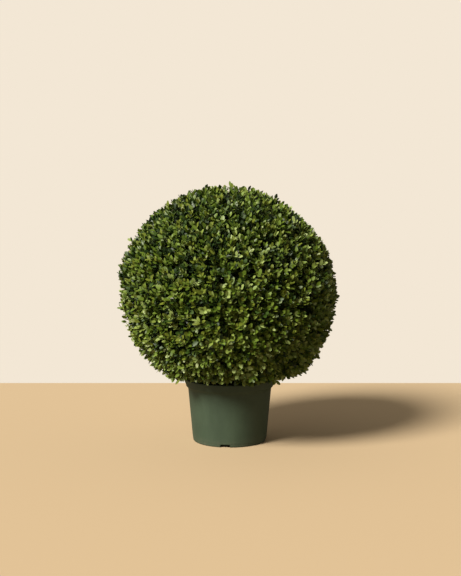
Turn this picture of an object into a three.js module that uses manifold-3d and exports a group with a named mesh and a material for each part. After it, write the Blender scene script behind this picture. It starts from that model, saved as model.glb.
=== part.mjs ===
// A clipped box ball in a plastic nursery pot, in millimetres with +Z up.
// The pot stands on z = 0, and the middle of the ball is over the origin.
import * as THREE from 'three';
import { mergeVertices } from 'three/addons/utils/BufferGeometryUtils.js';
import Module from 'manifold-3d';

const wasm = await Module();
wasm.setup();

// ---------------------------------------------------------------- driving dimensions

const seat = 0.3; // clear space kept between two pieces that touch

const pot = {
  axisX: 4, // the ball has grown a little to the left of its pot
  height: 171,
  wall: 2,
  footRadius: 99.7,
  footBevel: 4,
  footWidth: 8,
  floorHeight: 10,
  shoulderRadius: 113.5, // the body just under the rim
  rimRadius: 122.3,
  rimFootRadius: 119,
  rimHeight: 20.5,
  rimUnderside: 5, // height of the sloping step under the rim
  lip: 1.5, // rounding along the top of the rim
  notches: 4,
  notchTurn: -97, // degrees from +X to the first notch
  notchWidth: 27,
  notchHeight: 7.5,
  drains: 8,
  drainRadius: 6,
  drainFacets: 16,
  drainCircle: 74,
  facets: 56,
};

const compost = {
  surface: 146, // height at the stem
  fall: 3, // how much lower it lies at the wall
  level: 4, // width of the level ring round the stem's foot
  ripple: 1.6, // unevenness of the surface
  rippleWidth: 26, // half a wave of it
  rings: 5,
};

const stem = {
  height: 215,
  footRadius: 15,
  tipRadius: 7,
  flare: 11, // added to the radius at the cut, by the roots
  flareHeight: 13,
  leanX: -9,
  leanY: 9,
  flutes: 5,
  fluteDepth: 0.07,
  facets: 16,
  rings: 14,
};

const ball = {
  spread: 295, // level radius
  rise: 286, // upright radius
  middle: 409, // height of the middle
  skew: 0.024, // share by which it stands out at the upper left and the lower right
  underside: 186, // height of the level cut over the pot
  swellings: [ // broad ones left by the shears, by angle from +X over the crown to +Z, in degrees
    { angle: 130, height: -6.5, width: 0.45 },
    { angle: 193, height: 8, width: 0.16 },
  ],
  tufts: 420,
  tuftHeight: 4.5,
  tuftWidth: 0.1, // in radians, seen from the middle
  detail: 13,
};

// ---------------------------------------------------------------- tools

/** A function that gives repeatable numbers from 0 to 1. */
function numbersFrom(seed) {
  let state = seed;
  return () => {
    state = (state * 1664525 + 1013904223) % 4294967296;
    return state / 4294967296;
  };
}

/** A closed solid with its shared vertices merged. */
function solidOf(geometry) {
  const bare = geometry.clone();
  bare.deleteAttribute('normal');
  bare.deleteAttribute('uv');
  const merged = mergeVertices(bare, 1e-4);
  return new wasm.Manifold(new wasm.Mesh({
    numProp: 3,
    vertProperties: new Float32Array(merged.attributes.position.array),
    triVerts: new Uint32Array(merged.index.array),
  }));
}

function geometryOf(solid) {
  const { vertProperties, triVerts } = solid.getMesh();
  const geometry = new THREE.BufferGeometry();
  geometry.setAttribute('position', new THREE.BufferAttribute(vertProperties, 3));
  geometry.setIndex(new THREE.BufferAttribute(triVerts, 1));
  geometry.computeVertexNormals();
  return geometry;
}

/** A profile of [radius, height] points turned about the Z axis. */
function turned(profile, facets) {
  const points = profile.map(([radius, height]) => new THREE.Vector2(radius, height));
  return new THREE.LatheGeometry(points, facets).rotateX(Math.PI / 2);
}

/** Moves every vertex of a geometry by a function that changes the vector it is given. */
function reshape(geometry, change) {
  const places = geometry.attributes.position;
  const vertex = new THREE.Vector3();
  for (let i = 0; i < places.count; i += 1) {
    vertex.fromBufferAttribute(places, i);
    change(vertex);
    places.setXYZ(i, vertex.x, vertex.y, vertex.z);
  }
  return geometry;
}

/** Points of a round corner of the given size from one direction to another, both in degrees. */
function arc(radius, height, size, from, to, steps = 3) {
  return Array.from({ length: steps + 1 }, (_, i) => {
    const turn = THREE.MathUtils.degToRad(from + ((to - from) * i) / steps);
    return [radius + size * Math.cos(turn), height + size * Math.sin(turn)];
  });
}

function named(name, geometry, color, roughness) {
  const material = new THREE.MeshStandardMaterial({ color, roughness, metalness: 0 });
  const mesh = new THREE.Mesh(geometry, material);
  mesh.name = name;
  return mesh;
}

// ---------------------------------------------------------------- pot

const rimFoot = pot.height - pot.rimHeight;
const shoulder = rimFoot - pot.rimUnderside;
const floorTop = pot.floorHeight + pot.wall;

/** Outer radius of the pot's body at a height. */
function bodyRadius(height) {
  return THREE.MathUtils.mapLinear(height, 0, shoulder, pot.footRadius, pot.shoulderRadius);
}

/** The pot's wall, floor and foot ring, cut by the foot's notches and the floor's drain holes. */
function potShape() {
  const footInside = pot.footRadius - pot.footWidth;
  const shell = solidOf(turned([
    [0, pot.floorHeight],
    [footInside, pot.floorHeight],
    [footInside, 0],
    ...arc(bodyRadius(pot.footBevel) - pot.footBevel, pot.footBevel, pot.footBevel, -90, 0),
    [pot.shoulderRadius, shoulder],
    [pot.rimFootRadius, rimFoot],
    ...arc(pot.rimRadius - pot.lip, pot.height - pot.lip, pot.lip, 0, 90),
    [pot.rimRadius - pot.wall, pot.height - pot.lip],
    [pot.rimFootRadius - pot.wall, rimFoot + pot.wall],
    [bodyRadius(shoulder + pot.wall) - pot.wall, shoulder + pot.wall],
    [bodyRadius(floorTop) - pot.wall, floorTop],
    [0, floorTop],
  ], pot.facets));

  const notch = new THREE.BoxGeometry(3 * pot.footWidth, pot.notchWidth, 2 * pot.notchHeight);
  notch.translate(pot.footRadius, 0, 0);
  const drain = new THREE.CylinderGeometry(
    pot.drainRadius, pot.drainRadius, 4 * pot.wall, pot.drainFacets);
  drain.rotateX(Math.PI / 2).translate(pot.drainCircle, 0, pot.floorHeight);
  return geometryOf(shell
    .subtract(around(notch, pot.notches, pot.notchTurn))
    .subtract(around(drain, pot.drains, pot.notchTurn)));
}

/** Copies of a shape spaced evenly about the Z axis, as one solid. */
function around(geometry, count, firstTurn) {
  const copies = Array.from({ length: count }, (_, i) => {
    const turn = THREE.MathUtils.degToRad(firstTurn + (360 * i) / count);
    return solidOf(geometry.clone().rotateZ(turn));
  });
  return copies.reduce((all, copy) => all.add(copy));
}

// ---------------------------------------------------------------- compost

/** The compost, which fills the pot up to a low uneven mound round the stem. */
function compostShape() {
  const bottom = floorTop + seat;
  const edge = compost.surface - compost.fall;
  const radiusAt = (height) => bodyRadius(height) - pot.wall - seat;
  const level = stem.footRadius + stem.flare + compost.level;
  const rings = Array.from({ length: compost.rings }, (_, i) => {
    const share = i / (compost.rings - 1);
    return [THREE.MathUtils.lerp(radiusAt(edge), level, share), edge + compost.fall * share];
  });
  const shape = turned([
    [0, bottom],
    [radiusAt(bottom), bottom],
    ...rings,
    [0, compost.surface],
  ], pot.facets);
  const wave = Math.PI / compost.rippleWidth;
  return reshape(shape, (vertex) => {
    if (vertex.z >= edge && Math.hypot(vertex.x, vertex.y) > level + seat) {
      vertex.z += compost.ripple * Math.sin(wave * vertex.x) * Math.cos(wave * vertex.y);
    }
  });
}

// ---------------------------------------------------------------- stem

/**
 * The short stem: a fluted, leaning taper on a flared foot with a flat cut. Grown by extra all over,
 * and begun lower down by drop, it is the pocket that the ball keeps for it.
 */
function stemShape(extra = 0, drop = 0) {
  const foot = compost.surface + seat;
  const profile = Array.from({ length: stem.rings + 1 }, (_, i) => {
    const share = (i / stem.rings) ** 1.5;
    const taper = THREE.MathUtils.lerp(stem.footRadius, stem.tipRadius, share);
    const flare = stem.flare * Math.exp((-share * stem.height) / stem.flareHeight);
    return [taper + flare + extra, foot + share * stem.height];
  });
  const top = foot + stem.height;
  const tip = [stem.tipRadius / 2 + extra, top + stem.tipRadius / 2 + extra];
  const cut = [[0, foot - drop], [profile[0][0], foot - drop]];
  const shape = turned([...cut, ...profile, tip, [0, tip[1]]], stem.facets);
  return reshape(shape, (vertex) => {
    const share = Math.max(0, vertex.z - foot) / stem.height;
    const turn = Math.atan2(vertex.y, vertex.x);
    const flute = 1 + stem.fluteDepth * Math.cos(stem.flutes * turn + 2 * share);
    vertex.x = vertex.x * flute + stem.leanX * share * share;
    vertex.y = vertex.y * flute + stem.leanY * share;
  });
}

// ---------------------------------------------------------------- foliage

/** Directions and heights of the tufts that make the clipped surface uneven. */
function tufts() {
  const next = numbersFrom(11);
  return Array.from({ length: ball.tufts }, () => {
    const turn = 2 * Math.PI * next();
    const z = 2 * next() - 1;
    const level = Math.sqrt(1 - z * z);
    const direction = new THREE.Vector3(level * Math.cos(turn), level * Math.sin(turn), z);
    return { direction, height: ball.tuftHeight * (2 * next() - 1), width: ball.tuftWidth };
  });
}

/** Directions, heights and widths of the ball's broad swellings. */
function swellings() {
  return ball.swellings.map(({ angle, height, width }) => {
    const turn = THREE.MathUtils.degToRad(angle);
    return { direction: new THREE.Vector3(Math.cos(turn), 0, Math.sin(turn)), height, width };
  });
}

/** The ball: a skewed, uneven spheroid with a level underside and a pocket for the stem. */
function ballShape() {
  const all = [...tufts(), ...swellings()];
  const sphere = new THREE.IcosahedronGeometry(1, ball.detail);
  reshape(sphere, (vertex) => {
    const direction = vertex.clone().normalize();
    const uneven = all.reduce((sum, tuft) => {
      const nearness = (direction.dot(tuft.direction) - 1) / tuft.width ** 2;
      return sum + tuft.height * Math.exp(nearness);
    }, 0);
    const skew = 1 - 2 * ball.skew * direction.x * direction.z;
    vertex.x = direction.x * (ball.spread * skew + uneven);
    vertex.y = direction.y * (ball.spread * skew + uneven);
    vertex.z = ball.middle + direction.z * (ball.rise * skew + uneven);
    vertex.z = Math.max(vertex.z, ball.underside);
  });
  const pocket = stemShape(seat, seat).translate(pot.axisX, 0, 0);
  return geometryOf(solidOf(sphere).subtract(solidOf(pocket)));
}

// ---------------------------------------------------------------- the plant in its pot

const planted = new THREE.Group();
planted.position.x = pot.axisX;
planted.add(
  named('pot', potShape(), 0x35503f, 0.45),
  named('compost', compostShape(), 0x2b2018, 0.95),
  named('stem', stemShape(), 0x6f6552, 0.85),
);

const topiary = new THREE.Group();
topiary.add(planted, named('foliage_ball', ballShape(), 0x3d5a22, 0.55));

export default topiary;
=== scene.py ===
"""A clipped box ball in a plastic nursery pot: the finish of every surface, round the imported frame.

Lengths are in metres, and MM turns millimetres into them. Every random draw comes from a seeded
generator, so each run grows the same plant.
"""
import math

import bpy
import numpy as np
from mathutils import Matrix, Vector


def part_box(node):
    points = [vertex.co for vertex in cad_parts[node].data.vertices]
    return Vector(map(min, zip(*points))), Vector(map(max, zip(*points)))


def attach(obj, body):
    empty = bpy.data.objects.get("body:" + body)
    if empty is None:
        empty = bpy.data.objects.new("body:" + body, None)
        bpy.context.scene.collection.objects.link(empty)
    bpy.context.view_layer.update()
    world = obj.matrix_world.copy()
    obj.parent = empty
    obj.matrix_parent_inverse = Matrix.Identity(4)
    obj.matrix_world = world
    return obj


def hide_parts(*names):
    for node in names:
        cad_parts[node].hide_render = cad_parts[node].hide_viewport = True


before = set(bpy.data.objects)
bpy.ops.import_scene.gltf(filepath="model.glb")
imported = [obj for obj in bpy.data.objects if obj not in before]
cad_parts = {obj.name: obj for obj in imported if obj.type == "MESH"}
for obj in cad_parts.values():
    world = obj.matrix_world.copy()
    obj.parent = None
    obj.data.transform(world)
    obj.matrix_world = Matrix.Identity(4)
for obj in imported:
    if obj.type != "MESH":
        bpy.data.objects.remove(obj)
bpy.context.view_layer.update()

MM = 0.001

# ------------------------------------------------------------------ driving dimensions

# The pot, as it is in the frame. Its axis and height come from its own box.
POT_LOW, POT_HIGH = (np.array(corner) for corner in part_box("pot"))
POT_AXIS = (POT_LOW + POT_HIGH) / 2 * (1, 1, 0)
POT_HEIGHT = POT_HIGH[2]
RIM_RADIUS = (POT_HIGH[0] - POT_LOW[0]) / 2
POT_WALL = 1.8 * MM
FOOT_RADIUS = 99.7 * MM
FOOT_INSIDE = 91.7 * MM
FOOT_ROUND = 3.5 * MM
FLOOR_HEIGHT = 10 * MM
SHOULDER_RADIUS = 113.5 * MM
RIM_FOOT_RADIUS = 119 * MM
RIM_BAND = 20.5 * MM
RIM_STEP = 5 * MM
RIM_LIP = 0.9 * MM
NOTCHES, NOTCH_TURN = 4, math.radians(-97)
NOTCH_HALF = 13.5 * MM / FOOT_RADIUS  # half a notch's width, as an angle
NOTCH_HEIGHT = 7.5 * MM
DRAINS, DRAIN_RADIUS, DRAIN_CIRCLE = 8, 6 * MM, 74 * MM

# The crown. Its outline is the foliage solid's own surface, seen from its middle.
CROWN_MIDDLE = np.array([0, 0, 409 * MM])
UP = np.array([0.0, 0.0, 1.0])

# Each order of branching, from the boughs on the stem out to the leafy shoots: how many there are,
# how far out they end as a share of the crown's radius, the part of their parent that they start
# on, their radius in millimetres at each end, and the sides and steps of their tubes.
BOUGHS = dict(count=11, reach=0.40, start=(0.0, 1.0), thick=(6.5, 4.2), sides=14, steps=26)
BRANCHES = dict(count=70, reach=0.63, start=(0.35, 1.0), thick=(3.6, 2.2), sides=9, steps=14)
TWIGS = dict(count=620, reach=0.83, start=(0.4, 1.0), thick=(1.9, 1.0), sides=5, steps=6)
SHOOTS = dict(count=5900, reach=1.0, start=(0.45, 1.0), thick=(0.85, 0.45), sides=3, steps=5)

# Leaves stand on a shoot in crossed pairs. One number for each pair, from the tip down.
PAIR_PLACES = np.array([1.0, 8.0, 17.0, 27.0]) * MM  # how far back from the shoot's tip
PAIR_LENGTHS = np.array([15.0, 18.0, 19.0, 18.5]) * MM
PAIR_ANGLES = np.radians([22.0, 38.0, 52.0, 64.0])  # between leaf and shoot
LEAF_WIDTH = 0.57  # of its length

# Towards the key light. The leaves have also rolled this way as they grew.
KEY_DIRECTION = np.array([-0.554, -0.527, 0.644])

GOLDEN_ANGLE = math.pi * (3 - math.sqrt(5))


# ------------------------------------------------------------------ tools for shapes

def unit(vectors):
    """Each vector divided by its length."""
    return vectors / np.maximum(np.linalg.norm(vectors, axis=-1, keepdims=True), 1e-12)


def noise(points, size, seed=0):
    """Smooth noise from -1 to 1 with bumps about size across.

    Space is cut into cubes of that size. Each corner has a number, made by multiplying its three
    whole-number places by primes and mixing the bits. A point blends the eight corners round it,
    each by the product of three smoothstep shares.
    """
    scaled = points / size
    cell = np.floor(scaled).astype(np.int64)
    share = scaled - cell
    share = share * share * (3 - 2 * share)
    total = 0
    for corner in np.ndindex(2, 2, 2):
        mixed = ((cell + corner) * (73856093, 19349663, 83492791)).sum(axis=-1) + seed * 7919
        for shift, factor in ((16, 0x45D9F3B), (15, 0x2C1B3C6D)):
            mixed = mixed & 0xFFFFFFFF
            mixed = (mixed ^ (mixed >> shift)) * factor
        value = ((mixed & 0xFFFFFFFF) ^ ((mixed & 0xFFFFFFFF) >> 16)) / 2.0 ** 32
        total = total + value * np.prod(np.where(corner, share, 1 - share), axis=-1)
    return 2 * total - 1


def grid_faces(rows, columns):
    """Four-sided faces of a grid of points whose columns close into rings, facing away from its axis
    where the rows climb and the columns run anticlockwise."""
    row, column = np.meshgrid(np.arange(rows - 1), np.arange(columns), indexing="ij")
    beside = (column + 1) % columns
    corners = (row * columns + column, row * columns + beside,
               (row + 1) * columns + beside, (row + 1) * columns + column)
    return np.stack(corners, axis=-1).reshape(-1, 4)


def closed_rings(rings):
    """Points and faces of a solid given as rings of points, of shape (rows, columns, 3). A point in
    the middle of the first ring and one in the middle of the last close it."""
    rows, columns, _ = rings.shape
    poles = rings[[0, -1]].mean(axis=1)
    points = np.concatenate([rings.reshape(-1, 3), poles])
    here = np.arange(columns)
    beside = (here + 1) % columns
    first, last = rows * columns, rows * columns + 1
    top = (rows - 1) * columns
    fans = [np.stack([np.full(columns, first), beside, here], axis=1),
            np.stack([np.full(columns, last), top + here, top + beside], axis=1)]
    return points, [grid_faces(rows, columns), np.concatenate(fans)]


def tubes(lines, radii, sides):
    """Points and faces of many closed tubes at once, from lines of shape (count, steps, 3).

    At each point of a line a ring of evenly turned points stands square to the line, at that point's
    radius. Quads join the rings, and one flat face closes each end.
    """
    count, steps, _ = lines.shape
    along = unit(np.gradient(lines, axis=1))
    steep = np.abs(along[..., 2]).mean(axis=1) > 0.8
    spare = np.where(steep[:, None, None], (1.0, 0.0, 0.0), (0.0, 0.0, 1.0))
    across = unit(np.cross(along, np.broadcast_to(spare, along.shape)))
    over = np.cross(along, across)
    turn = 2 * np.pi * np.arange(sides)[:, None] / sides
    ring = np.cos(turn) * across[:, :, None] + np.sin(turn) * over[:, :, None]
    points = lines[:, :, None] + radii[:, :, None, None] * ring
    first = np.arange(count)[:, None, None] * steps * sides
    walls = first + grid_faces(steps, sides)
    cap = np.arange(sides)
    caps = np.concatenate([first[:, 0] + cap[::-1], first[:, 0] + (steps - 1) * sides + cap])
    return points.reshape(-1, 3), [walls.reshape(-1, 4), caps]


def joined(parts):
    """Several (points, faces) as one."""
    points, faces, before = [], [], 0
    for some_points, some_faces in parts:
        points.append(some_points)
        faces += [block + before for block in some_faces]
        before += len(some_points)
    return np.concatenate(points), faces


def make_piece(name, shape, material, replaced, sharp_from=None):
    """A finished piece from (points, faces), where faces is a list of arrays of corner numbers, one
    array for each number of corners. It rides on the only body and stands for a CAD node."""
    points, faces = shape
    mesh = bpy.data.meshes.new(name)
    sizes = np.concatenate([np.full(len(block), block.shape[1]) for block in faces])
    corners = np.concatenate([block.ravel() for block in faces])
    mesh.vertices.add(len(points))
    mesh.vertices.foreach_set("co", np.ascontiguousarray(points, np.float32).ravel())
    mesh.loops.add(len(corners))
    mesh.loops.foreach_set("vertex_index", corners.astype(np.int32))
    mesh.polygons.add(len(sizes))
    starts = np.concatenate([[0], np.cumsum(sizes)[:-1]]).astype(np.int32)
    mesh.polygons.foreach_set("loop_start", starts)
    mesh.polygons.foreach_set("use_smooth", np.ones(len(sizes), bool))
    mesh.update(calc_edges=True)
    if sharp_from is not None:
        mesh.set_sharp_from_angle(angle=math.radians(sharp_from))
    mesh.materials.append(material)
    thing = bpy.data.objects.new(name, mesh)
    bpy.context.scene.collection.objects.link(thing)
    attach(thing, "root")
    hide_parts(replaced)
    return thing


def node_points(name):
    """The points of a CAD node's mesh."""
    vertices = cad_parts[name].data.vertices
    places = np.empty(len(vertices) * 3)
    vertices.foreach_get("co", places)
    return places.reshape(-1, 3)


# ------------------------------------------------------------------ tools for materials

def linear(colour):
    """A hex colour in sRGB as linear red, green, blue and alpha: each share is divided by 12.92 when
    small, and otherwise is ((share + 0.055) / 1.055) to the power 2.4."""
    shares = [int(colour[i:i + 2], 16) / 255 for i in (1, 3, 5)]
    return [s / 12.92 if s <= 0.04045 else ((s + 0.055) / 1.055) ** 2.4 for s in shares] + [1.0]


def add(tree, kind, links=(), inputs=(), **settings):
    """Adds a node of a kind, with its settings, its inputs' values and links into it, given as
    {input: output socket}, and returns it."""
    made = tree.nodes.new(kind)
    for name, value in settings.items():
        setattr(made, name, value)
    for name, value in dict(inputs).items():
        made.inputs[name].default_value = value
    for name, output in dict(links).items():
        tree.links.new(output, made.inputs[name])
    return made


def new_material(name, **sockets):
    """A material with a Principled shader whose sockets are set, as (material, tree, shader)."""
    material = bpy.data.materials.new(name)
    material.use_nodes = True
    tree = material.node_tree
    shader = tree.nodes["Principled BSDF"]
    for socket, value in sockets.items():
        shader.inputs[socket.replace("_", " ")].default_value = value
    return material, tree, shader


def ramp(tree, source, stops):
    """A colour ramp over (place, hex colour) stops."""
    made = add(tree, "ShaderNodeValToRGB", {"Fac": source})
    elements = made.color_ramp.elements
    while len(elements) < len(stops):
        elements.new(0.5)
    for element, (place, colour) in zip(elements, stops):
        element.position = place
        element.color = linear(colour)
    return made.outputs["Color"]


# ------------------------------------------------------------------ materials

def moulded_polypropylene():
    """Polypropylene, injection moulded and dyed dark green through: a satin skin with a soft broad
    shine, paler where it has scuffed and dusty near the ground."""
    material, tree, shader = new_material("moulded_polypropylene_green", IOR=1.49)
    place = add(tree, "ShaderNodeTexCoord").outputs["Object"]
    # uneven dye and old water marks, in patches about 60 mm across that run down the wall
    drawn_down = add(tree, "ShaderNodeMapping", {"Vector": place},
                     {"Scale": (1.0, 1.0, 0.35)}).outputs["Vector"]
    patches = add(tree, "ShaderNodeTexNoise", {"Vector": drawn_down},
                  {"Scale": 1 / 0.06, "Detail": 5.0, "Roughness": 0.6}).outputs["Fac"]
    dye = ramp(tree, patches, [(0.3, "#3c4c3a"), (0.7, "#485945")])
    # dust and dried splashes, thickest within 25 mm of the ground
    height = add(tree, "ShaderNodeSeparateXYZ", {"Vector": place}).outputs["Z"]
    low = add(tree, "ShaderNodeMapRange", {"Value": height},
              {"From Min": 0.0, "From Max": 25 * MM, "To Min": 0.4, "To Max": 0.02})
    specks = add(tree, "ShaderNodeTexNoise", {"Vector": place},
                 {"Scale": 1 / 0.009, "Detail": 6.0, "Roughness": 0.7}).outputs["Fac"]
    speckled = add(tree, "ShaderNodeMapRange", {"Value": specks},
                   {"From Min": 0.45, "From Max": 0.75, "To Min": 0.15, "To Max": 1.0})
    dusty = add(tree, "ShaderNodeMath", {0: low.outputs["Result"], 1: speckled.outputs["Result"]},
                operation="MULTIPLY").outputs["Value"]
    mixed = add(tree, "ShaderNodeMix", {"Factor": dusty, "A": dye},
                {"B": linear("#7b7660")}, data_type="RGBA")
    tree.links.new(mixed.outputs["Result"], shader.inputs["Base Color"])
    rough = add(tree, "ShaderNodeMapRange", {"Value": specks},
                {"From Min": 0.3, "From Max": 0.7, "To Min": 0.46, "To Max": 0.62})
    tree.links.new(rough.outputs["Result"], shader.inputs["Roughness"])
    # the mould's grain is under 1 mm, and is drawn at 3 mm so that it shows
    grain = add(tree, "ShaderNodeTexNoise", {"Vector": place}, {"Scale": 1 / 0.003, "Detail": 2.0})
    bump = add(tree, "ShaderNodeBump", {"Height": grain.outputs["Fac"]},
               {"Strength": 0.25, "Distance": 0.15 * MM})
    tree.links.new(bump.outputs["Normal"], shader.inputs["Normal"])
    return material


def potting_compost():
    """Moist potting compost: dark brown, matte and crumbly, with paler fibres and bits of bark."""
    material, tree, shader = new_material("potting_compost", Roughness=0.95)
    place = add(tree, "ShaderNodeTexCoord").outputs["Object"]
    crumbs = add(tree, "ShaderNodeTexNoise", {"Vector": place},
                 {"Scale": 1 / 0.006, "Detail": 6.0, "Roughness": 0.7}).outputs["Fac"]
    earth = ramp(tree, crumbs, [(0.3, "#17100b"), (0.55, "#33251a"), (0.8, "#5a4632")])
    tree.links.new(earth, shader.inputs["Base Color"])
    bump = add(tree, "ShaderNodeBump", {"Height": crumbs}, {"Strength": 0.8, "Distance": 1 * MM})
    tree.links.new(bump.outputs["Normal"], shader.inputs["Normal"])
    return material


def box_bark():
    """Old box bark: dry, grey-buff, finely furrowed along the grain, with darker cracks and a little
    green algae."""
    material, tree, shader = new_material("box_bark", Roughness=0.88)
    place = add(tree, "ShaderNodeTexCoord").outputs["Object"]
    grain = add(tree, "ShaderNodeMapping", {"Vector": place}, {"Scale": (1.0, 1.0, 0.25)})
    furrows = add(tree, "ShaderNodeTexNoise", {"Vector": grain.outputs["Vector"]},
                  {"Scale": 1 / 0.004, "Detail": 5.0, "Roughness": 0.65}).outputs["Fac"]
    bark = ramp(tree, furrows, [(0.3, "#3a3226"), (0.5, "#6e6350"), (0.75, "#93886f")])
    patches = add(tree, "ShaderNodeTexNoise", {"Vector": place},
                  {"Scale": 1 / 0.02, "Detail": 3.0}).outputs["Fac"]
    algae = add(tree, "ShaderNodeMapRange", {"Value": patches},
                {"From Min": 0.5, "From Max": 0.75, "To Min": 0.0, "To Max": 0.5})
    mixed = add(tree, "ShaderNodeMix", {"Factor": algae.outputs["Result"], "A": bark},
                {"B": linear("#59603a")}, data_type="RGBA")
    tree.links.new(mixed.outputs["Result"], shader.inputs["Base Color"])
    bump = add(tree, "ShaderNodeBump", {"Height": furrows}, {"Strength": 0.9, "Distance": 0.6 * MM})
    tree.links.new(bump.outputs["Normal"], shader.inputs["Normal"])
    return material


def young_wood(name, colour):
    """The thin skin of young box twigs, brown-green and slightly waxy."""
    return new_material(name, Base_Color=linear(colour), Roughness=0.6)[0]


def waxy_leaf(name, colour):
    """A box leaf: tough, with a thin wax that gives it a soft shine over its own plain green."""
    return new_material(name, Base_Color=linear(colour), Roughness=0.5, IOR=1.55)[0]


# ------------------------------------------------------------------ pot

def rounded(radius, height, size, start, end, steps=6):
    """Points of a round corner: the middle is (radius, height), and the angles are in degrees."""
    turn = np.radians(np.linspace(start, end, steps + 1))
    return np.stack([radius + size * np.cos(turn), height + size * np.sin(turn)], axis=1)


def pot_profile():
    """The pot's section as (radius, height) points, from under the floor, out round the foot, up the
    outside, over the rim and down the inside to the floor. Long runs have a point every few mm, so
    that the light on them turns only at their ends."""
    shoulder = POT_HEIGHT - RIM_BAND - RIM_STEP
    rim_foot = POT_HEIGHT - RIM_BAND

    def body(height):
        """The tapering wall's outer radius at a height."""
        return FOOT_RADIUS + (SHOULDER_RADIUS - FOOT_RADIUS) * height / shoulder

    def run(start, end, step=6 * MM):
        """Points about a step apart on a straight line."""
        start, end = np.array(start), np.array(end)
        count = max(2, int(np.linalg.norm(end - start) / step))
        return start + (end - start) * np.linspace(0, 1, count)[:, None]

    lip = RIM_LIP
    floor_top = FLOOR_HEIGHT + POT_WALL
    wall = POT_WALL
    return np.concatenate([
        run((4 * MM, FLOOR_HEIGHT), (FOOT_INSIDE - 1 * MM, FLOOR_HEIGHT), 9 * MM),
        [(FOOT_INSIDE, FLOOR_HEIGHT - 0.6 * MM), (FOOT_INSIDE, 0.4 * MM), (FOOT_INSIDE + 0.4 * MM, 0)],
        rounded(body(FOOT_ROUND) - FOOT_ROUND, FOOT_ROUND, FOOT_ROUND, -90, 0),
        [(body(NOTCH_HEIGHT + 0.5 * MM), NOTCH_HEIGHT + 0.5 * MM)],
        [(body(9.2 * MM), 9.2 * MM), (body(9.8 * MM) + 0.5 * MM, 9.8 * MM)],
        run((body(11 * MM) + 0.5 * MM, 11 * MM), (SHOULDER_RADIUS, shoulder - 1 * MM)),
        [(SHOULDER_RADIUS + 0.6 * MM, shoulder + 0.2 * MM)],
        [(RIM_FOOT_RADIUS - 0.7 * MM, rim_foot - 0.3 * MM), (RIM_FOOT_RADIUS, rim_foot + 0.5 * MM)],
        run((RIM_FOOT_RADIUS + 0.2 * MM, rim_foot + 2 * MM), (RIM_RADIUS - 0.3 * MM, POT_HEIGHT - 4 * MM)),
        rounded(RIM_RADIUS - lip, POT_HEIGHT - 2.2 * lip, lip, 0, 60, 3),
        rounded(RIM_RADIUS - 1.6 * lip, POT_HEIGHT - lip, lip, 60, 180, 6),
        run((RIM_RADIUS - wall - lip, POT_HEIGHT - 4 * MM), (RIM_FOOT_RADIUS - wall, rim_foot + wall)),
        [(SHOULDER_RADIUS - wall, shoulder + wall)],
        run((SHOULDER_RADIUS - wall - 0.2 * MM, shoulder), (body(floor_top + 2 * MM) - wall,
                                                            floor_top + 2 * MM)),
        rounded(body(floor_top) - wall - 1.5 * MM, floor_top + 1.5 * MM, 1.5 * MM, 0, -90, 3),
        run((body(floor_top) - wall - 8 * MM, floor_top), (4 * MM, floor_top), 9 * MM),
    ])


def notch_top(turn):
    """How high the foot is cut away at an angle: a rounded slot, whose height is the notch's full
    height times (1 - (angle from its middle / half its width) to the 8th) to the power 1/8."""
    spacing = 2 * np.pi / NOTCHES
    off = (turn - NOTCH_TURN + spacing / 2) % spacing - spacing / 2
    inside = np.clip(1 - np.abs(off / NOTCH_HALF) ** 8, 0, None)
    return NOTCH_HEIGHT * inside ** (1 / 8)


def pot_shape():
    """The profile turned about the pot's axis. Angles crowd at the notches' sides, and every point
    of the foot that is lower than its notch is raised to the notch's top."""
    even = np.linspace(0, 2 * np.pi, 240, endpoint=False)
    across = np.array([-1.004, -1, -0.998, -0.99, -0.96, -0.9, 0.9, 0.96, 0.99, 0.998, 1, 1.004])
    middles = NOTCH_TURN + 2 * np.pi * np.arange(NOTCHES) / NOTCHES
    crowded = (middles[:, None] + across * NOTCH_HALF).ravel() % (2 * np.pi)
    far = np.abs((even[:, None] - crowded + np.pi) % (2 * np.pi) - np.pi).min(axis=1) > 0.004
    turn = np.sort(np.concatenate([even[far], crowded]))
    profile = pot_profile()
    radius, height = profile[:, :1], profile[:, 1:]
    raised = np.maximum(height, notch_top(turn)[None])
    cut = np.where(height < NOTCH_HEIGHT + 0.1 * MM, raised, height)
    x, y = radius * np.cos(turn), radius * np.sin(turn)
    return closed_rings(np.stack([x, y, np.broadcast_to(cut, x.shape)], axis=-1) + POT_AXIS)


def drain_cutters():
    """Upright cylinders where the drain holes go through the floor."""
    turn = NOTCH_TURN + 2 * np.pi * np.arange(DRAINS) / DRAINS
    middles = POT_AXIS + DRAIN_CIRCLE * np.stack([np.cos(turn), np.sin(turn), 0 * turn], axis=1)
    heights = np.linspace(FLOOR_HEIGHT - 4 * MM, FLOOR_HEIGHT + 6 * MM, 2)
    lines = middles[:, None] + heights[:, None] * UP
    return tubes(lines, np.full(lines.shape[:2], DRAIN_RADIUS), 32)


def make_pot(material):
    """The moulded pot, with its drain holes cut by a boolean that is then applied."""
    pot = make_piece("pot_moulded", pot_shape(), material, "pot")
    points, faces = drain_cutters()
    mesh = bpy.data.meshes.new("drain_cutters")
    mesh.from_pydata(points.tolist(), [], [face for block in faces for face in block.tolist()])
    cutter = bpy.data.objects.new("drain_cutters", mesh)
    bpy.context.scene.collection.objects.link(cutter)
    cut = pot.modifiers.new("drains", "BOOLEAN")
    cut.operation = "DIFFERENCE"
    cut.solver = "EXACT"
    cut.object = cutter
    graph = bpy.context.evaluated_depsgraph_get()
    finished = bpy.data.meshes.new_from_object(pot.evaluated_get(graph))
    pot.modifiers.clear()
    pot.data = finished
    pot.data.set_sharp_from_angle(angle=math.radians(35))
    bpy.data.objects.remove(cutter)
    return pot


# ------------------------------------------------------------------ compost

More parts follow.
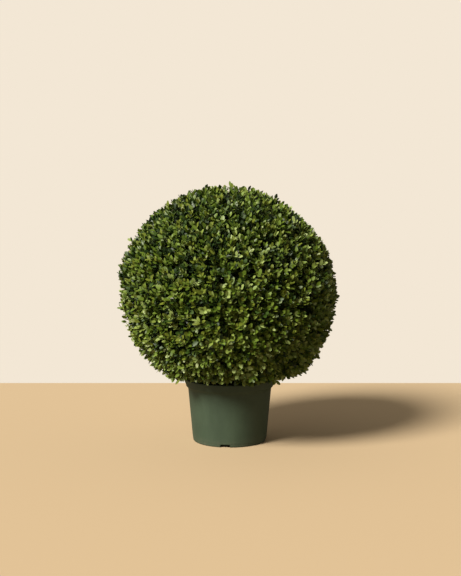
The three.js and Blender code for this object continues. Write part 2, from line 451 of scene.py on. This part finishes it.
def compost_top(points, edge, middle):
    """Height of the compost's surface: it climbs evenly from the wall's level to the stem's, with
    lumps of 22, 8 and 3 mm on it that die away at the wall."""
    out = np.linalg.norm(points[..., :2] - POT_AXIS[:2], axis=-1) / SHOULDER_RADIUS
    lumps = sum(depth * noise(points, size, seed) for size, depth, seed in (
        (22 * MM, 1.3 * MM, 1), (8 * MM, 0.9 * MM, 2), (3 * MM, 0.5 * MM, 3)))
    return middle + (edge - middle) * out + lumps * np.clip((1 - out) * 12, 0, 1)


def compost_shape():
    """The bed of compost: rings from under its middle, up the pot's wall and in over its crumbly top.
    The pale chips of bark sunk in it are a piece of their own."""
    low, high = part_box("compost")
    bottom, edge, middle = low[2], high[2] - 3.5 * MM, high[2] - 0.8 * MM
    foot = FOOT_RADIUS - POT_WALL
    inside = (high[0] - low[0]) / 2
    turn = np.linspace(0, 2 * np.pi, 200, endpoint=False)
    bed = np.stack([np.linspace(8 * MM, foot, 6), np.full(6, bottom)], axis=1)
    side = np.stack([np.linspace(foot + 0.3 * MM, inside, 8), np.linspace(bottom + 2 * MM, edge, 8)],
                    axis=1)
    top = np.stack([np.linspace(inside - 1.2 * MM, 3 * MM, 70), np.full(70, edge)], axis=1)
    profile = np.concatenate([bed, side, top])
    rings = np.stack([profile[:, :1] * np.cos(turn), profile[:, :1] * np.sin(turn),
                      np.broadcast_to(profile[:, 1:], (len(profile), len(turn)))], axis=-1) + POT_AXIS
    rings[-len(top):, :, 2] = compost_top(rings[-len(top):], edge, middle)
    return closed_rings(rings)


def chip_shape(draw, count=340):
    """Bark chips: eight-sided lumps, each squashed, turned and half sunk in the compost's top."""
    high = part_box("compost")[1]
    radius = np.sqrt(draw.uniform(0.08, 0.92, count)) * SHOULDER_RADIUS
    turn = draw.uniform(0, 2 * np.pi, count)
    place = np.stack([radius * np.cos(turn), radius * np.sin(turn), 0 * turn], axis=1) + POT_AXIS
    place[:, 2] = compost_top(place + (0, 0, high[2] - 3.5 * MM), high[2] - 3.5 * MM, high[2] - 0.8 * MM)
    corners = np.array([(1, 0, 0), (0, 1, 0), (-1, 0, 0), (0, -1, 0), (0, 0, 1), (0, 0, -1)], float)
    size = draw.uniform((2.5, 1.4, 0.6), (7, 3.6, 1.6), (count, 3)) * MM
    rough = corners * size[:, None] * draw.uniform(0.75, 1.15, (count, 6, 1))
    spin = draw.uniform(0, 2 * np.pi, count)
    tilt = draw.normal(0, 0.25, (count, 2))
    c, s = np.cos(spin)[:, None], np.sin(spin)[:, None]
    x, y, z = rough[..., 0], rough[..., 1], rough[..., 2]
    turned = np.stack([c * x - s * y, s * x + c * y, z + tilt[:, :1] * x + tilt[:, 1:] * y], axis=-1)
    faces = np.array([(0, 1, 4), (1, 2, 4), (2, 3, 4), (3, 0, 4),
                      (1, 0, 5), (2, 1, 5), (3, 2, 5), (0, 3, 5)])
    points = (place[:, None] + turned).reshape(-1, 3)
    return points, [(np.arange(count)[:, None, None] * 6 + faces).reshape(-1, 3)]


# ------------------------------------------------------------------ stem and branches

def stem_line():
    """(heights, middles, radii) of the stem solid at each height where it has a ring of points."""
    points = node_points("stem")
    levels = np.unique(points[:, 2].round(5))
    rings = [points[np.abs(points[:, 2] - level) < 1e-5] for level in levels]
    middles = np.array([(ring.min(axis=0) + ring.max(axis=0)) / 2 for ring in rings])
    radii = np.array([np.ptp(ring[:, :2], axis=0).mean() / 2 for ring in rings])
    return levels, middles, radii


def on_stem(heights):
    """The stem's middle and radius at some heights."""
    levels, middles, radii = stem_line()
    xy = [np.interp(heights, levels, middles[:, axis]) for axis in (0, 1)]
    return np.stack([*xy, heights], axis=-1), np.interp(heights, levels, radii)


def bark_relief(points, depth):
    """How far bark stands out: ridges drawn out four times along the height, as the square root of
    the noise's size, and broken across by a coarser noise."""
    drawn = points * (1, 1, 0.28)
    ridges = np.sqrt(np.abs(noise(drawn, 5 * MM, 11)))
    plates = noise(points, 9 * MM, 12)
    return depth * (ridges - 0.6 + 0.5 * plates)


def stem_shape():
    """The stem: rings on the solid's own middles and radii, with roots that swell its foot in five
    lobes, and the bark's relief. Its cut is flat, and its tip rounds off among the boughs."""
    levels, _, _ = stem_line()
    heights = np.linspace(levels[0], levels[-1], 150)
    middles, radii = on_stem(heights)
    turn = np.linspace(0, 2 * np.pi, 110, endpoint=False)
    above = (heights - levels[0])[:, None]
    lobes = 0.10 * np.exp(-above / (16 * MM)) * np.cos(5 * turn + 0.6)
    round_off = np.sqrt(np.clip((levels[-1] + 1 * MM - heights) / (6 * MM), 0, 1))[:, None]
    out = np.stack([np.cos(turn), np.sin(turn), 0 * turn], axis=-1)
    radius = radii[:, None] * (1 + lobes) * round_off
    plain = middles[:, None] + radius[..., None] * out
    relief = bark_relief(plain, 0.9 * MM) * np.clip(radius / (9 * MM), 0, 1)
    return closed_rings(plain + relief[..., None] * out)


def crown_radius(directions):
    """How far the crown reaches from its middle in each direction: the mean distance of the foliage
    solid's points, weighted by exp((cosine of the angle between - 1) / 0.006), which counts only
    those within a few degrees. The points of the stem's pocket are left out."""
    points = node_points("foliage_ball")
    pocket = (np.linalg.norm(points[:, :2] - POT_AXIS[:2], axis=1) < 45 * MM) & (points[:, 2] < 0.4)
    arms = np.unique(points[~pocket].round(5), axis=0) - CROWN_MIDDLE
    far = np.linalg.norm(arms, axis=1)
    near = np.exp((directions @ (arms / far[:, None]).T - 1) / 0.006)
    return (near @ far) / near.sum(axis=1)


def spread_directions(count, turn, scatter, draw):
    """Directions spread evenly over a sphere: heights fall in even steps while the angle grows by the
    golden angle, and each is then scattered by a share of their spacing."""
    step = np.arange(count) + 0.5
    z = 1 - 2 * step / count
    angle = GOLDEN_ANGLE * step + turn
    level = np.sqrt(1 - z * z)
    even = np.stack([level * np.cos(angle), level * np.sin(angle), z], axis=1)
    spacing = math.sqrt(4 * math.pi / count)
    return unit(even + draw.normal(0, scatter * spacing, (count, 3)))


def bent(start, hold, end, shares):
    """Points of curves that leave start towards hold and reach end: (1 - s) squared times start, plus
    2 s (1 - s) times hold, plus s squared times end."""
    s = shares[..., None]
    start, hold, end = (p[:, None] for p in (start, hold, end))
    return (1 - s) ** 2 * start + 2 * s * (1 - s) * hold + s ** 2 * end


def leaving(start, hold, end, shares):
    """Directions of such curves, one share each."""
    s = shares[:, None]
    return unit((1 - s) * (hold - start) + s * (end - hold))


def grow_boughs(draw):
    """The main boughs: each leaves the stem, steeply at first, at a height that suits where it goes,
    and curves out to its end."""
    directions = spread_directions(BOUGHS["count"], 0.4, 0.10, draw)
    ends = CROWN_MIDDLE + directions * (crown_radius(directions) * BOUGHS["reach"])[:, None]
    levels = stem_line()[0]
    share = np.clip((directions[:, 2] + 1) / 2 + draw.uniform(-0.08, 0.08, len(ends)), 0.02, 0.97)
    starts = on_stem(levels[0] + 45 * MM + share * (levels[-1] - levels[0] - 50 * MM))[0]
    length = np.linalg.norm(ends - starts, axis=1, keepdims=True)
    holds = starts + length * (0.28 * UP + 0.3 * directions)
    return directions, starts, holds, ends


def grow_from(parents, order, turn, draw):
    """The next order of branching: each end takes the parent whose own direction from the crown's
    middle is nearest, starts in the last part of it, leaves along it and bends out to its end."""
    parent_directions, *parent_curves = parents
    directions = spread_directions(order["count"], turn, 0.30, draw)
    reach = crown_radius(directions) * (order["reach"] + draw.normal(0, 0.02, len(directions)))
    ends = CROWN_MIDDLE + directions * reach[:, None]
    nearest = (directions @ parent_directions.T).argmax(axis=1)
    start, hold, end = (curve[nearest] for curve in parent_curves)
    share = draw.uniform(*order["start"], len(ends))
    starts = bent(start, hold, end, share[:, None])[:, 0]
    length = np.linalg.norm(ends - starts, axis=1, keepdims=True)
    holds = starts + 0.4 * length * unit(leaving(start, hold, end, share) + 0.5 * directions)
    return directions, starts, holds, ends


def limb_shape(curves, order, wander=0.0, relief=0.0):
    """Tubes along curves, thinning evenly from one end to the other. They wander sideways by noise,
    and their skin stands out by the bark's relief."""
    shares = np.broadcast_to(np.linspace(0, 1, order["steps"]), (len(curves[0]), order["steps"]))
    lines = bent(*curves, shares)
    if wander:
        sway = np.stack([noise(lines, 55 * MM, 20 + axis) for axis in range(3)], axis=-1)
        lines = lines + wander * sway * np.sin(np.pi * shares)[..., None]
    thick, thin = order["thick"]
    points, faces = tubes(lines, (thick + (thin - thick) * shares) * MM, order["sides"])
    if relief:
        middles = np.repeat(lines.reshape(-1, 3), order["sides"], axis=0)
        points = points + unit(points - middles) * bark_relief(points, relief)[:, None]
    return points, faces


def grow_shoots(twigs, draw):
    """The leafy shoots, as (curves, tip directions, depths below the clipped surface).

    Their tips cover the crown evenly, most just inside its surface, at depths that fall off
    exponentially and are greater between tufts. They turn outwards and up to the light, more so the
    higher they stand. The few that have grown since the crown was clipped stand proud.
    """
    twig_directions, *twig_curves = twigs
    count = SHOOTS["count"]
    directions = spread_directions(count, 0.0, 0.22, draw)
    radius = crown_radius(directions)
    surface = CROWN_MIDDLE + directions * radius[:, None]
    tufted = 1.5 * MM * (1 + noise(surface, 34 * MM, 31)) + 0.8 * MM * (1 + noise(surface, 70 * MM, 32))
    depth = np.minimum(draw.exponential(6.5 * MM, count), 30 * MM) + tufted
    chance = draw.random(count)
    stray, inner = chance < 0.015, chance > 0.76
    depth = np.where(stray, -draw.uniform(1, 8, count) * MM, depth)
    depth = np.where(inner, draw.uniform(45, 115, count) * MM, depth)
    margin = 7 * MM * np.clip((directions[:, 2] + 0.75) / 0.25, 0, 1)
    ends = CROWN_MIDDLE + directions * (radius - margin - depth)[:, None]
    nearest = (directions @ twig_directions.T).argmax(axis=1)
    share = draw.uniform(*SHOOTS["start"], count) * np.where(inner, 0.6, 1)
    starts = bent(*(curve[nearest] for curve in twig_curves), share[:, None])[:, 0]
    outward = directions * (1, 1, 0.75)
    rise = 0.3 + 0.55 * np.clip(directions[:, 2:] + 0.6, 0, 1)
    tips = unit(outward + rise * UP + draw.normal(0, 0.2, (count, 3)))
    length = np.linalg.norm(ends - starts, axis=1, keepdims=True)
    holds = ends - 0.6 * np.maximum(length, 30 * MM) * tips
    return (starts, holds, ends), tips, depth


# ------------------------------------------------------------------ leaves

def leaf_template():
    """One leaf in its own plane, with length 1 along y and width 1 across x, and its faces.

    Its half width at a share t of its length is half of sin(pi t to the 1.1) to the power 0.6. It has
    a point at each end and three rows across: left edge, midrib and right edge.
    """
    rows = np.array([0.16, 0.5, 0.86])
    half = 0.5 * np.sin(np.pi * rows ** 1.1) ** 0.6
    points = [(0.0, 0.0)]
    for t, w in zip(rows, half):
        points += [(-w, t), (0.0, t), (w, t)]
    points.append((0.0, 1.0))
    fours = np.array([(1, 2, 5, 4), (2, 3, 6, 5), (4, 5, 8, 7), (5, 6, 9, 8)])
    threes = np.array([(0, 3, 2), (0, 2, 1), (8, 9, 10), (7, 8, 10)])
    return np.array(points), fours, threes


def leaf_points(curves, tips, draw):
    """Every leaf's points, as an array (shoots, pairs, 2, points, 3).

    The pairs stand back from the shoot's tip along its end, each a quarter turn from the last. A leaf
    leaves at its pair's angle, its face turned to the shoot's tip and rolled towards the sunny side.
    It is folded up from its midrib and curled back along its length.
    """
    count, pairs = len(tips), len(PAIR_PLACES)
    size = (count, pairs, 2)
    spare = unit(np.cross(tips, draw.normal(0, 1, (count, 3))))
    other = np.cross(tips, spare)
    quarter = np.pi / 2 * np.arange(pairs)[None, :, None]
    turn = draw.uniform(0, 2 * np.pi, (count, 1, 1)) + quarter + np.array([0, np.pi])
    turn = (turn + draw.normal(0, 0.28, size))[..., None]
    side = np.cos(turn) * spare[:, None, None] + np.sin(turn) * other[:, None, None]
    angle = (PAIR_ANGLES[None, :, None] + draw.normal(0, 0.20, size))[..., None]
    tip = tips[:, None, None]
    along = np.cos(angle) * tip + np.sin(angle) * side
    face = np.sin(angle) * tip - np.cos(angle) * side
    light = unit(tips + 0.1 * UP + 1.2 * KEY_DIRECTION)[:, None, None]
    sunward = light - (along * light).sum(axis=-1, keepdims=True) * along
    face = unit(face + sunward + 0.16 * draw.normal(0, 1, (*size, 3)))
    across = unit(np.cross(along, face))
    face = np.cross(across, along)

    length = PAIR_LENGTHS[None, :, None] * draw.uniform(0.78, 1.16, size)
    vigour = draw.uniform(0.86, 1.1, (count, 1, 1))
    length = (length * vigour)[..., None]
    width = length * LEAF_WIDTH * draw.uniform(0.88, 1.12, size)[..., None]
    fold = np.tan(np.radians(draw.uniform(4, 16, size)))[..., None]
    curl = draw.uniform(-0.05, 0.22, size)[..., None]
    flat, _, _ = leaf_template()
    x, y = flat[:, 0] * width, flat[:, 1] * length
    lift = fold * np.abs(x) - curl * length * flat[:, 1] ** 2
    start, hold, end = curves
    back = PAIR_PLACES[None, :, None] * draw.uniform(0.85, 1.15, size)
    shares = 1 - back / np.linalg.norm(end - start, axis=1)[:, None, None]
    shares = np.clip(shares, 0.1, 1).reshape(count, -1)
    base = bent(start, hold, end, shares).reshape(*size, 3)
    return (base[..., None, :] + x[..., None] * across[..., None, :]
            + y[..., None] * along[..., None, :] + lift[..., None] * face[..., None, :])


def clear_of_pot(leaves):
    """Lifts each leaf that reaches into the pot's rim until it just lies on it."""
    out = np.linalg.norm(leaves[..., :2] - POT_AXIS[:2], axis=-1)
    rim_top = POT_HEIGHT + 0.6 * MM
    inside = (out < RIM_RADIUS + 1.5 * MM) & (leaves[..., 2] < rim_top)
    need = np.where(inside, rim_top - leaves[..., 2], 0).max(axis=-1)
    return leaves + need[..., None, None] * UP


# The greens of the sprays, dealt out whole to each shoot: a name, its colour, and how often it comes
#  on shoots at the surface and on those deep in the crown. The darker greens deep in the crown are
#  partly older leaves and partly painted shade.
GREENS = (
    ("shade", "#20360a", 0.2, 6.0),
    ("old", "#344d0c", 0.8, 4.0),
    ("deep", "#4e6412", 3.0, 2.0),
    ("middle", "#60761b", 6.0, 1.0),
    ("olive", "#737f26", 1.6, 0.4),
    ("bright", "#738930", 3.5, 0.3),
    ("fresh", "#879842", 1.2, 0.1),
    ("pale", "#9aaa60", 0.3, 0.0),
)


# Painted light: the way in which sprays lean to the lighter greens, low down and to the right, the sides
# that the key light reaches least.
PAINTED_LIGHT_WAY = np.array([0.5, 0.0, -0.9])


def deal_greens(surface, depth, draw):
    """A green's number for each pair of leaves. A shoot's chances slide from the surface's to the
    deep ones over 25 mm, so deep shoots are darker, partly as older leaves and partly as painted shade
    in the crown's depths. They lean to the lighter greens low down and on the right, as painted light
    on the sides that the key reaches least, and to either end in patches about 150 mm across. Its
    young pairs, at the tip, are about a step lighter, and its old ones up to two steps darker, give
    or take a step."""
    shallow = np.array([green[2] for green in GREENS])
    sunk = np.array([green[3] for green in GREENS])
    # deep shoots take darker greens: partly older leaves, partly painted shade in the crown's depths
    share = np.clip(depth / (25 * MM), 0, 1)[:, None]
    chances = shallow * (1 - share) + sunk * share
    # painted light: lighter greens low down and on the right, where the key light falls least
    low = unit(surface - CROWN_MIDDLE) @ PAINTED_LIGHT_WAY
    lean = 0.8 * noise(surface, 150 * MM, 1174) + 1.4 * low
    lean = lean[:, None] * np.linspace(-1, 1, len(GREENS))
    chances = chances * np.exp(lean)
    steps = np.cumsum(chances / chances.sum(axis=1, keepdims=True), axis=1)
    green = (draw.random(len(surface))[:, None] > steps).sum(axis=1)
    age = np.linspace(0.8, -1.6, len(PAIR_PLACES))
    shift = np.round(age + draw.normal(0, 1.0, (len(surface), len(age)))).astype(int)
    return np.clip(green[:, None] + shift, 0, len(GREENS) - 1)


def leaf_shape(leaves):
    """Points and faces of some leaves, from an array whose last two sides are points and places."""
    flat = leaves.reshape(-1, leaves.shape[-2], 3)
    _, fours, threes = leaf_template()
    first = np.arange(len(flat))[:, None, None] * flat.shape[1]
    return flat.reshape(-1, 3), [(first + fours).reshape(-1, 4), (first + threes).reshape(-1, 3)]


# ------------------------------------------------------------------ the whole plant

def make_plant():
    """The stem, the branching inside the crown, and the leaves, one piece for each green."""
    draw = np.random.default_rng(20)
    bark = box_bark()
    boughs = grow_boughs(draw)
    branches = grow_from(boughs, BRANCHES, 1.1, draw)
    twigs = grow_from(branches, TWIGS, 2.3, draw)
    curves, tips, depth = grow_shoots(twigs, draw)

    make_piece("stem_bark", stem_shape(), bark, "stem")
    limbs = joined([limb_shape(boughs[1:], BOUGHS, 7 * MM, 0.5 * MM),
                    limb_shape(branches[1:], BRANCHES, 5 * MM, 0.25 * MM)])
    make_piece("boughs", limbs, bark, "foliage_ball")
    twig_skin = young_wood("twig_skin", "#5a5136")
    make_piece("twigs", limb_shape(twigs[1:], TWIGS, 3 * MM), twig_skin, "foliage_ball")
    shoot_skin = young_wood("shoot_skin", "#4f5a24")
    make_piece("shoots", limb_shape(curves, SHOOTS), shoot_skin, "foliage_ball")

    leaves = clear_of_pot(leaf_points(curves, tips, draw))
    greens = deal_greens(curves[2], depth, draw)
    for number, (name, colour, _, _) in enumerate(GREENS):
        shape = leaf_shape(leaves[greens == number])
        make_piece(f"leaves_{name}", shape, waxy_leaf(f"box_leaf_{name}", colour),
                   "foliage_ball")


def make_compost():
    """The bed in the pot, with bark chips lying in its top."""
    material = potting_compost()
    make_piece("compost_bed", compost_shape(), material, "compost")
    chips = chip_shape(np.random.default_rng(5))
    make_piece("bark_chips", chips, box_bark(), "compost", sharp_from=20)


# ------------------------------------------------------------------ studio

FLOOR_COLOUR = "#cfb693"
FLOOR_BOUNCE = "#89785e"  # the floor as the plant sees it
BACKDROP_COLOUR = "#f3e7d5"
KEY_STRENGTH = 4.65
KEY_WIDTH = math.radians(20)
# The fill's colours, by the side that it comes from.
FILL_FRONT, FILL_BACK = "#27303c", "#958e81"
FILL_LEFT, FILL_RIGHT, FILL_BELOW = "#c4bfb4", "#b0a48f", "#7c6c55"


def make_camera():
    """A 63 mm lens about 2.7 m from the pot and 0.66 m up, looking 5 degrees down."""
    camera = bpy.data.cameras.new("camera")
    camera.sensor_width = 36
    camera.lens = 63.44
    thing = bpy.data.objects.new("camera", camera)
    thing.location = (POT_AXIS[0] + 2.2 * MM, -2.743, 0.658)
    thing.rotation_euler = (math.radians(90 - 5.03), 0, 0)
    bpy.context.scene.collection.objects.link(thing)
    bpy.context.scene.camera = thing


def make_floor():
    """A wide, plain, pale floor, which ends 0.85 m behind the pot. It is one colour to the eye, and
    a darker one for the light that it throws back on the plant."""
    points = [(-1.8, -1.8, 0), (1.8, -1.8, 0), (1.8, 0.85, 0), (-1.8, 0.85, 0)]
    mesh = bpy.data.meshes.new("floor")
    mesh.from_pydata(points, [], [(0, 1, 2, 3)])
    material, tree, shader = new_material("studio_floor", Roughness=0.9, Specular_IOR_Level=0.1)
    path = add(tree, "ShaderNodeLightPath")
    shown = add(tree, "ShaderNodeMix", {"Factor": path.outputs["Is Camera Ray"]},
                {"A": linear(FLOOR_BOUNCE), "B": linear(FLOOR_COLOUR)}, data_type="RGBA")
    tree.links.new(shown.outputs["Result"], shader.inputs["Base Color"])
    mesh.materials.append(material)
    floor = bpy.data.objects.new("floor", mesh)
    bpy.context.scene.collection.objects.link(floor)


def make_lights():
    """A warm, wide, soft key from the upper left in front, and a fill that is bright on the left,
    gentler on the right, dim behind and dark in front. The backdrop is pale to the eye and lights
    the plant only as the fill does."""
    key = bpy.data.lights.new("key", "SUN")
    key.energy = KEY_STRENGTH
    key.angle = KEY_WIDTH
    key.color = linear("#fffaf0")[:3]
    thing = bpy.data.objects.new("key", key)
    flat = math.hypot(KEY_DIRECTION[0], KEY_DIRECTION[1])
    thing.rotation_euler = (math.atan2(flat, KEY_DIRECTION[2]), 0,
                            math.atan2(KEY_DIRECTION[0], -KEY_DIRECTION[1]))
    bpy.context.scene.collection.objects.link(thing)
    world = bpy.data.worlds.new("studio")
    world.use_nodes = True
    tree = world.node_tree
    tree.nodes.clear()
    toward = add(tree, "ShaderNodeTexCoord").outputs["Generated"]
    split = add(tree, "ShaderNodeSeparateXYZ", {"Vector": toward})
    behind = add(tree, "ShaderNodeMapRange", {"Value": split.outputs["Y"]},
                 {"From Min": -0.1, "From Max": 0.5, "To Min": 0.0, "To Max": 1.0})
    above = add(tree, "ShaderNodeMix", {"Factor": behind.outputs["Result"]},
                {"A": linear(FILL_FRONT), "B": linear(FILL_BACK)}, data_type="RGBA")
    beside = add(tree, "ShaderNodeMapRange", {"Value": split.outputs["X"]},
                 {"From Min": -0.90, "From Max": 0.20, "To Min": 1.0, "To Max": 0.0})
    above = add(tree, "ShaderNodeMix", {"Factor": beside.outputs["Result"], "A": above.outputs["Result"]},
                {"B": linear(FILL_LEFT)}, data_type="RGBA")
    right = add(tree, "ShaderNodeMapRange", {"Value": split.outputs["X"]},
                {"From Min": 0.45, "From Max": 1.0, "To Min": 0.0, "To Max": 1.0})
    above = add(tree, "ShaderNodeMix", {"Factor": right.outputs["Result"], "A": above.outputs["Result"]},
                {"B": linear(FILL_RIGHT)}, data_type="RGBA")
    below = add(tree, "ShaderNodeMapRange", {"Value": split.outputs["Z"]},
                {"From Min": -0.05, "From Max": 0.05, "To Min": 1.0, "To Max": 0.0})
    round_about = add(tree, "ShaderNodeMix", {"Factor": below.outputs["Result"],
                                              "A": above.outputs["Result"]},
                      {"B": linear(FILL_BELOW)}, data_type="RGBA")
    fill = add(tree, "ShaderNodeBackground", {"Color": round_about.outputs["Result"]})
    seen = add(tree, "ShaderNodeBackground", inputs={"Color": linear(BACKDROP_COLOUR)})
    path = add(tree, "ShaderNodeLightPath")
    mixed = add(tree, "ShaderNodeMixShader", {0: path.outputs["Is Camera Ray"],
                                              1: fill.outputs[0], 2: seen.outputs[0]})
    add(tree, "ShaderNodeOutputWorld", {"Surface": mixed.outputs[0]})
    bpy.context.scene.world = world
    bpy.context.scene.view_settings.view_transform = "Standard"


make_camera()
make_floor()
make_lights()
make_pot(moulded_polypropylene())
make_compost()
make_plant()
